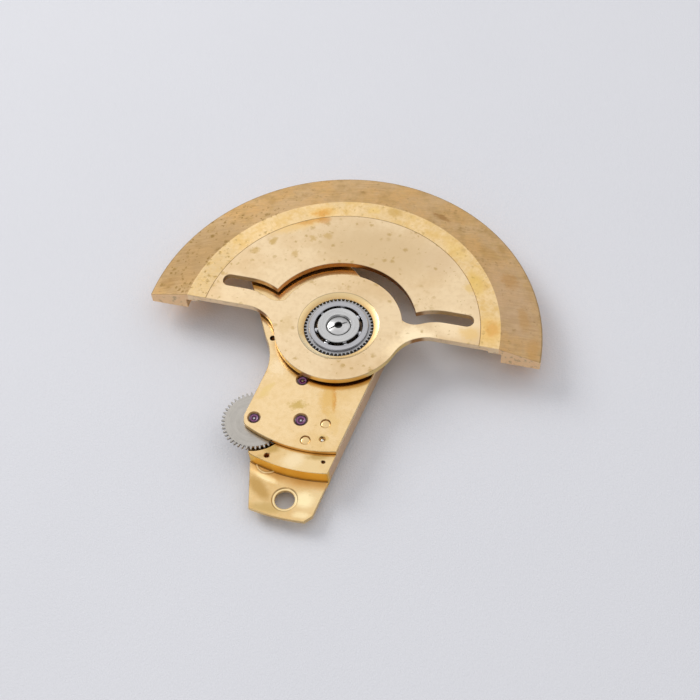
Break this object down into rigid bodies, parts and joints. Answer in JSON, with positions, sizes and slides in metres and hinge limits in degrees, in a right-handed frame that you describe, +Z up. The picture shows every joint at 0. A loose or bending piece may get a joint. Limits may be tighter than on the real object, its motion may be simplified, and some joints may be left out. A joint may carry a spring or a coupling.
{
  "type": "watch rotor",
  "caption": "Automatic winding rotor of a wrist watch: a half-disc weight on a ball bearing, geared to reversing wheels in a narrow winding module with a screw tab.",
  "frame": {"origin": "rotor axis at the underside of the winding module, where it lies on the movement", "axes": "+Z up along the rotor axis, +Y towards the middle of the rotor's heavy half, -Y towards the fixing tab"},
  "size_m": [0.025, 0.0251, 0.0022],
  "materials": {
    "rotor_plate_gold": "satin gold plate",
    "rotor_weight_gold": "matt rosy gold plate",
    "main_plate_gold": "satin gold plate",
    "top_bridge_gold": "polished gold plate",
    "bottom_bridge_gold": "satin gold plate",
    "rivet_gold": "turned gold plate",
    "cage_brass": "satin",
    "reduction_brass": "satin",
    "gear_steel": "satin",
    "ring_steel": "satin",
    "cone_steel": "turned",
    "ball_steel": "polished",
    "screw_steel": "polished",
    "small_screw_steel": "polished",
    "pin_steel": "polished",
    "wheel_metal": "satin",
    "click_steel": "satin",
    "arbor_steel": "polished",
    "ruby": "polished"
  },
  "bodies": {
    "module": {"main_plate": "main_plate_gold", "top_bridge": "top_bridge_gold", "bottom_bridge": "bottom_bridge_gold", "bottom_bridge_screws": "small_screw_steel", "bridge_rivets": "rivet_gold", "steady_pin": "pin_steel", "bearing_upper_cone": "cone_steel", "bearing_lower_cone": "cone_steel", "bearing_screw": "screw_steel", "first_reverser_upper_jewel": "ruby", "first_reverser_lower_jewel": "ruby", "second_reverser_upper_jewel": "ruby", "second_reverser_lower_jewel": "ruby", "reduction_upper_jewel": "ruby", "reduction_lower_jewel": "ruby"},
    "rotor": {"rotor_plate": "rotor_plate_gold", "rotor_weight": "rotor_weight_gold", "rotor_gear": "gear_steel", "bearing_outer_ring": "ring_steel"},
    "ball_train": {"bearing_balls": "ball_steel", "ball_cage": "cage_brass"},
    "first_reverser_wheel": {"first_reverser_wheel": "wheel_metal", "first_reverser_clicks": "click_steel"},
    "second_reverser_wheel": {"second_reverser_wheel": "wheel_metal", "second_reverser_clicks": "click_steel"},
    "first_reverser_arbor": {"first_reverser_arbor": "arbor_steel"},
    "second_reverser_arbor": {"second_reverser_arbor": "arbor_steel"},
    "reduction": {"reduction_wheel": "reduction_brass", "reduction_arbor": "arbor_steel"}
  },
  "joints": [
    {"name": "rotor_spin", "type": "hinge", "parent": "module", "child": "rotor", "pos_m": [0, 0, 0], "axis": [0, 0, 1], "continuous": true},
    {"name": "ball_train_spin", "type": "hinge", "parent": "module", "child": "ball_train", "pos_m": [0, 0, 0], "axis": [0, 0, 1], "continuous": true},
    {"name": "first_reverser_wheel_spin", "type": "hinge", "parent": "module", "child": "first_reverser_wheel", "pos_m": [-0.00126, -0.00397, 0], "axis": [0, 0, 1], "continuous": true},
    {"name": "second_reverser_wheel_spin", "type": "hinge", "parent": "module", "child": "second_reverser_wheel", "pos_m": [-0.00339, -0.00715, 0], "axis": [0, 0, 1], "continuous": true},
    {"name": "first_reverser_arbor_spin", "type": "hinge", "parent": "module", "child": "first_reverser_arbor", "pos_m": [-0.00126, -0.00397, 0], "axis": [0, 0, 1], "continuous": true},
    {"name": "second_reverser_arbor_spin", "type": "hinge", "parent": "module", "child": "second_reverser_arbor", "pos_m": [-0.00339, -0.00715, 0], "axis": [0, 0, 1], "continuous": true},
    {"name": "reduction_spin", "type": "hinge", "parent": "module", "child": "reduction", "pos_m": [-0.00062, -0.0067, 0], "axis": [0, 0, 1], "continuous": true}
  ],
  "couplings": [
    {"joint": "ball_train_spin", "follows": "rotor_spin", "ratio": 0.57857},
    {"joint": "first_reverser_wheel_spin", "follows": "rotor_spin", "ratio": -1.1778},
    {"joint": "second_reverser_wheel_spin", "follows": "rotor_spin", "ratio": 1.1778},
    {"joint": "second_reverser_arbor_spin", "follows": "rotor_spin", "ratio": 1.1778},
    {"joint": "first_reverser_arbor_spin", "follows": "rotor_spin", "ratio": 1.1778},
    {"joint": "reduction_spin", "follows": "rotor_spin", "ratio": -0.37689}
  ]
}
